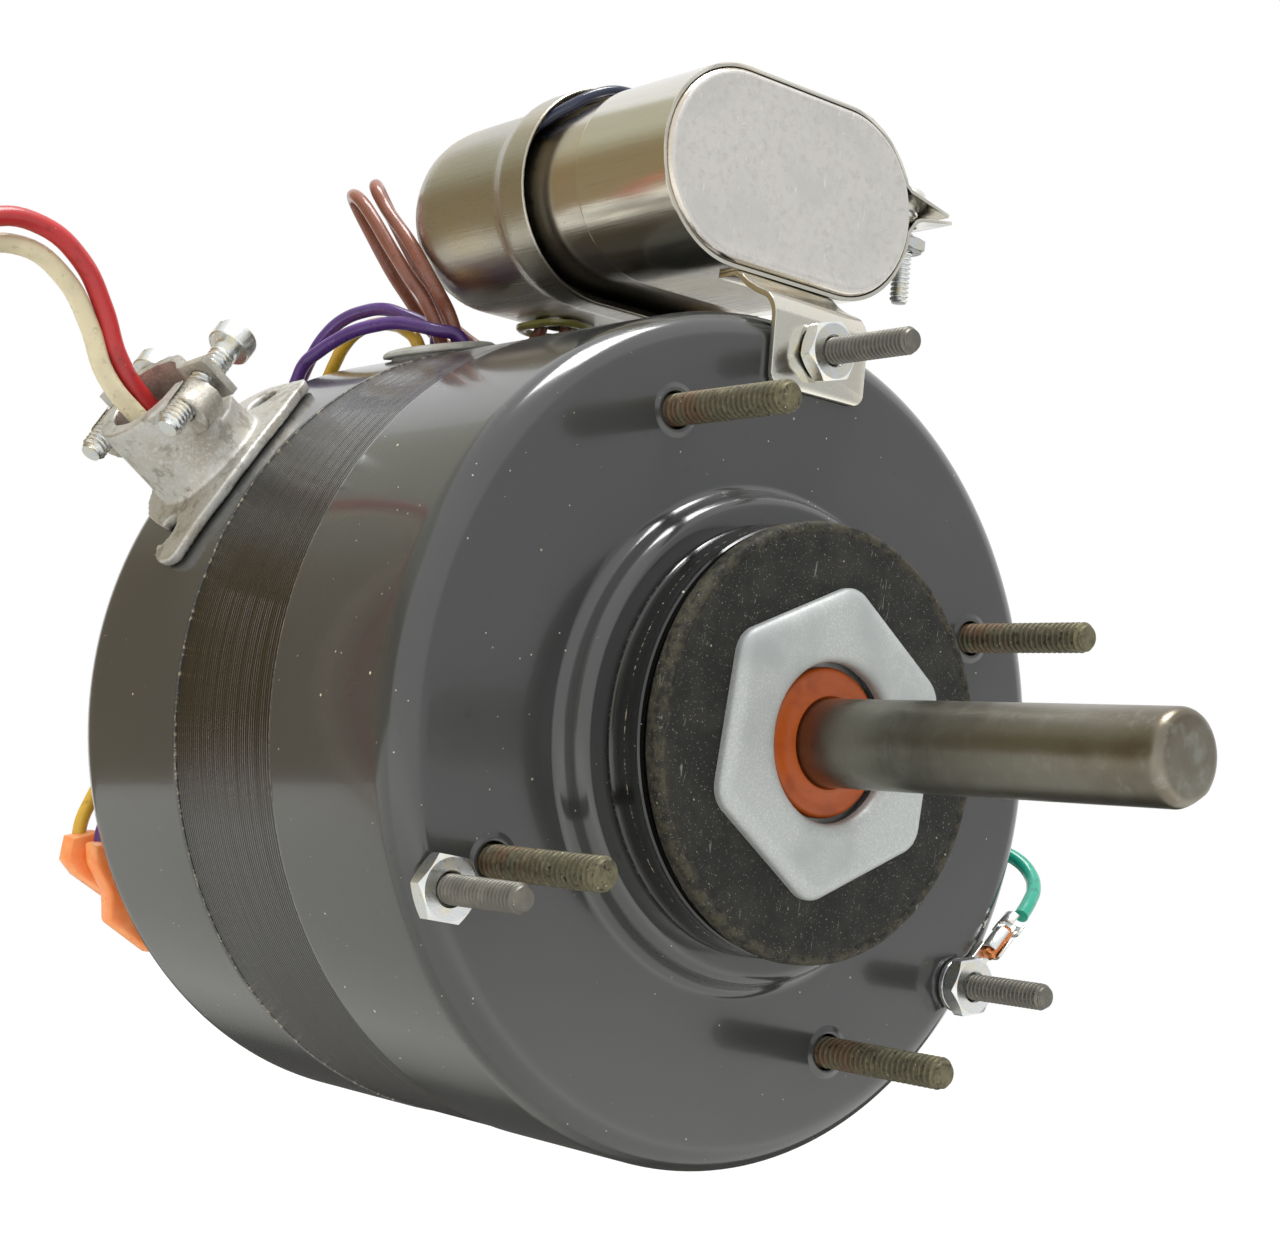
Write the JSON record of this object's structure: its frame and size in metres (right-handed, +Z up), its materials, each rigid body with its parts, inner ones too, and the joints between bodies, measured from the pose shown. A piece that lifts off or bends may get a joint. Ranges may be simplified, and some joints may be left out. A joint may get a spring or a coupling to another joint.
{
  "type": "combustion fan motor",
  "caption": "Round steel electric motor with a front shaft, resilient hub ring, mounting studs, strapped oval capacitor and clamped supply leads.",
  "frame": {"origin": "on the shaft axis, in the plane of the shell's flat front face", "axes": "-Y along the shaft towards its free end, +X to the right seen from the front, +Z up through the top stud and the capacitor"},
  "size_m": [0.1804, 0.1808, 0.2454],
  "materials": {
    "front_bell": "gloss dark grey enamel",
    "rear_bell": "gloss dark grey enamel",
    "stator_core": "varnished steel laminations",
    "winding_front": "varnished copper wire",
    "winding_rear": "varnished copper wire",
    "front_bearing_seat": "cast",
    "rear_bearing_seat": "cast",
    "front_bearing": "sintered bronze",
    "rear_bearing": "sintered bronze",
    "ring_cup": "gloss dark grey enamel",
    "rubber_ring": "dusty black rubber",
    "hex_plate": "matte zinc plate",
    "capacitor_can": "tinned drawn can",
    "capacitor_boot": "tinned drawn cover",
    "capacitor_strap": "galvanised strip",
    "capacitor_terminal_1": "tinned blade",
    "capacitor_terminal_2": "tinned blade",
    "boot_liner": "yellowed plastic edging",
    "strap_screw": "bright zinc plated",
    "strap_nut": "bright zinc plated",
    "clamp_body": "die-cast zinc",
    "clamp_bar": "die-cast zinc",
    "clamp_locknut": "die-cast zinc",
    "clamp_screw_1": "bright zinc plated",
    "clamp_screw_2": "bright zinc plated",
    "wire_grommet": "black rubber",
    "green_grommet": "black rubber",
    "red_lead": "red insulation",
    "cream_lead": "cream insulation",
    "brown_wire_1": "brown insulation",
    "brown_wire_2": "brown insulation",
    "purple_wire_1": "purple insulation",
    "purple_wire_2": "purple insulation",
    "yellow_wire": "yellow insulation",
    "blue_wire": "dark blue insulation",
    "green_wire": "green insulation",
    "terminal_insulator_1": "orange vinyl",
    "terminal_insulator_2": "orange vinyl",
    "ground_terminal": "tinned",
    "through_bolt_1": "rusty thread",
    "through_bolt_2": "rusty thread",
    "through_bolt_3": "rusty thread",
    "through_bolt_4": "rusty thread",
    "mounting_stud_1": "dark phosphate thread",
    "stud_nut_1": "bright zinc plated",
    "mounting_stud_2": "dark phosphate thread",
    "stud_nut_2": "bright zinc plated",
    "mounting_stud_3": "dark phosphate thread",
    "stud_nut_3": "bright zinc plated",
    "shaft": "ground steel",
    "rotor_core": "varnished steel laminations",
    "rotor_fan_front": "die-cast",
    "rotor_fan_rear": "die-cast",
    "thrust_collar_front": "turned steel",
    "thrust_collar_rear": "turned steel",
    "oil_slinger": "orange moulding"
  },
  "bodies": {
    "motor": {"front_bell": "front_bell", "rear_bell": "rear_bell", "stator_core": "stator_core", "winding_front": "winding_front", "winding_rear": "winding_rear", "front_bearing_seat": "front_bearing_seat", "rear_bearing_seat": "rear_bearing_seat", "front_bearing": "front_bearing", "rear_bearing": "rear_bearing", "ring_cup": "ring_cup", "rubber_ring": "rubber_ring", "hex_plate": "hex_plate", "capacitor_can": "capacitor_can", "capacitor_boot": "capacitor_boot", "capacitor_strap": "capacitor_strap", "capacitor_terminal_1": "capacitor_terminal_1", "capacitor_terminal_2": "capacitor_terminal_2", "boot_liner": "boot_liner", "strap_screw": "strap_screw", "strap_nut": "strap_nut", "clamp_body": "clamp_body", "clamp_bar": "clamp_bar", "clamp_locknut": "clamp_locknut", "clamp_screw_1": "clamp_screw_1", "clamp_screw_2": "clamp_screw_2", "wire_grommet": "wire_grommet", "green_grommet": "green_grommet", "red_lead": "red_lead", "cream_lead": "cream_lead", "brown_wire_1": "brown_wire_1", "brown_wire_2": "brown_wire_2", "purple_wire_1": "purple_wire_1", "purple_wire_2": "purple_wire_2", "yellow_wire": "yellow_wire", "blue_wire": "blue_wire", "green_wire": "green_wire", "terminal_insulator_1": "terminal_insulator_1", "terminal_insulator_2": "terminal_insulator_2", "ground_terminal": "ground_terminal", "through_bolt_1": "through_bolt_1", "through_bolt_2": "through_bolt_2", "through_bolt_3": "through_bolt_3", "through_bolt_4": "through_bolt_4", "mounting_stud_1": "mounting_stud_1", "stud_nut_1": "stud_nut_1", "mounting_stud_2": "mounting_stud_2", "stud_nut_2": "stud_nut_2", "mounting_stud_3": "mounting_stud_3", "stud_nut_3": "stud_nut_3"},
    "rotor": {"shaft": "shaft", "rotor_core": "rotor_core", "rotor_fan_front": "rotor_fan_front", "rotor_fan_rear": "rotor_fan_rear", "thrust_collar_front": "thrust_collar_front", "thrust_collar_rear": "thrust_collar_rear", "oil_slinger": "oil_slinger"}
  },
  "joints": [
    {"name": "rotor_spin", "type": "hinge", "parent": "motor", "child": "rotor", "pos_m": [0, 0, 0], "axis": [0, -1, 0], "continuous": true}
  ]
}
